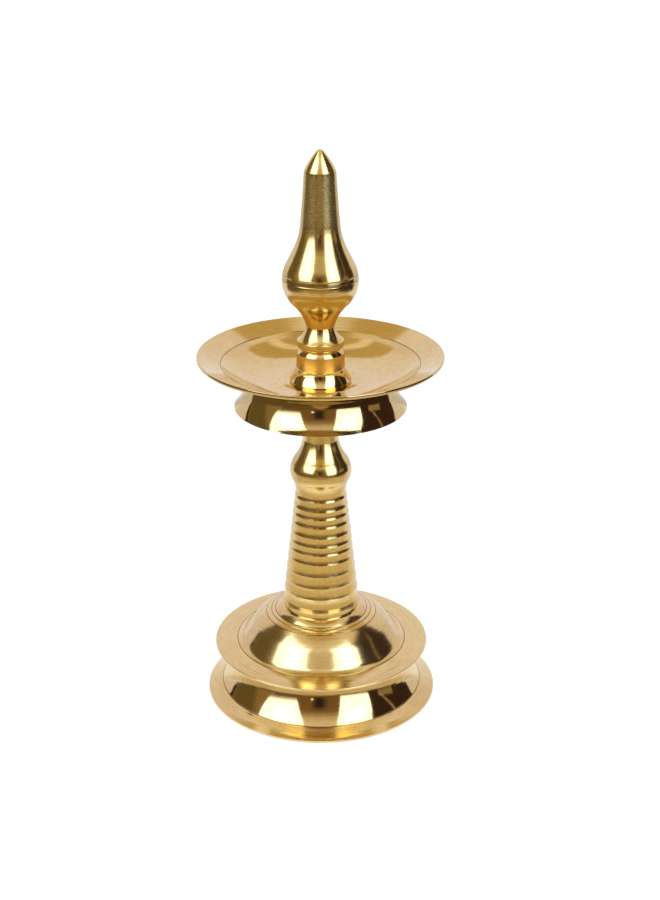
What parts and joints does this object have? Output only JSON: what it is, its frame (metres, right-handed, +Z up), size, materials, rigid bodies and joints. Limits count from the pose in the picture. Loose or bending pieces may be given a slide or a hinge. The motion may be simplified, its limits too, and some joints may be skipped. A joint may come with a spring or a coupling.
{
  "type": "brass standing oil lamp",
  "caption": "Turned brass standing oil lamp: pointed bulb finial and collar over a shallow round oil dish with a flared skirt, on a ringed tapering stem and a two-tier bell base.",
  "frame": {"origin": "centre of the circle on which the foot stands", "axes": "+Z up along the axis that every piece is turned about; +X and +Y are arbitrary"},
  "size_m": [0.1082, 0.1082, 0.254],
  "materials": {
    "polished_brass": "polished",
    "cast_brass": "turned and buffed, with casting pits",
    "brass_thread": "as cut",
    "steel_thread": "as cut",
    "zinc_steel": "zinc plated"
  },
  "bodies": {
    "foot": {"base_lower_tier": "polished_brass"},
    "upper_tier": {"base_upper_tier": "polished_brass"},
    "stem": {"stem": "cast_brass", "base_stud": "steel_thread", "stem_top_stud": "brass_thread"},
    "skirt": {"dish_skirt": "polished_brass"},
    "dish": {"oil_dish": "polished_brass"},
    "collar": {"collar": "polished_brass"},
    "finial_stud": {"finial_stud": "brass_thread"},
    "finial": {"finial": "polished_brass"},
    "washer": {"base_washer": "zinc_steel"},
    "nut": {"base_nut": "zinc_steel"}
  },
  "joints": [
    {"name": "upper_tier_lift", "type": "slide", "parent": "foot", "child": "upper_tier", "axis": [0, 0, 1], "range_m": [0, 0.022]},
    {"name": "stem_lift", "type": "slide", "parent": "upper_tier", "child": "stem", "axis": [0, 0, 1], "range_m": [0, 0.038]},
    {"name": "skirt_lift", "type": "slide", "parent": "stem", "child": "skirt", "axis": [0, 0, 1], "range_m": [0, 0.022]},
    {"name": "dish_lift", "type": "slide", "parent": "skirt", "child": "dish", "axis": [0, 0, 1], "range_m": [0, 0.016]},
    {"name": "collar_lift", "type": "slide", "parent": "dish", "child": "collar", "axis": [0, 0, 1], "range_m": [0, 0.014]},
    {"name": "finial_rise", "type": "slide", "parent": "collar", "child": "finial_stud", "axis": [0, 0, 1], "range_m": [0, 0.0076]},
    {"name": "finial_turn", "type": "hinge", "parent": "finial_stud", "child": "finial", "pos_m": [0, 0, 0.1677], "axis": [0, 0, 1], "range_deg": [0, 2160]},
    {"name": "base_washer_drop", "type": "slide", "parent": "foot", "child": "washer", "axis": [0, 0, -1], "range_m": [0, 0.0101]},
    {"name": "base_nut_turn", "type": "hinge", "parent": "washer", "child": "nut", "pos_m": [0, 0, 0.0145], "axis": [0, 0, -1], "range_deg": [0, 2880]}
  ],
  "couplings": [
    {"joint": "finial_rise", "follows": "finial_turn", "m_per_rad": 0.00019894},
    {"joint": "base_washer_drop", "follows": "base_nut_turn", "m_per_rad": 0.00019894}
  ]
}
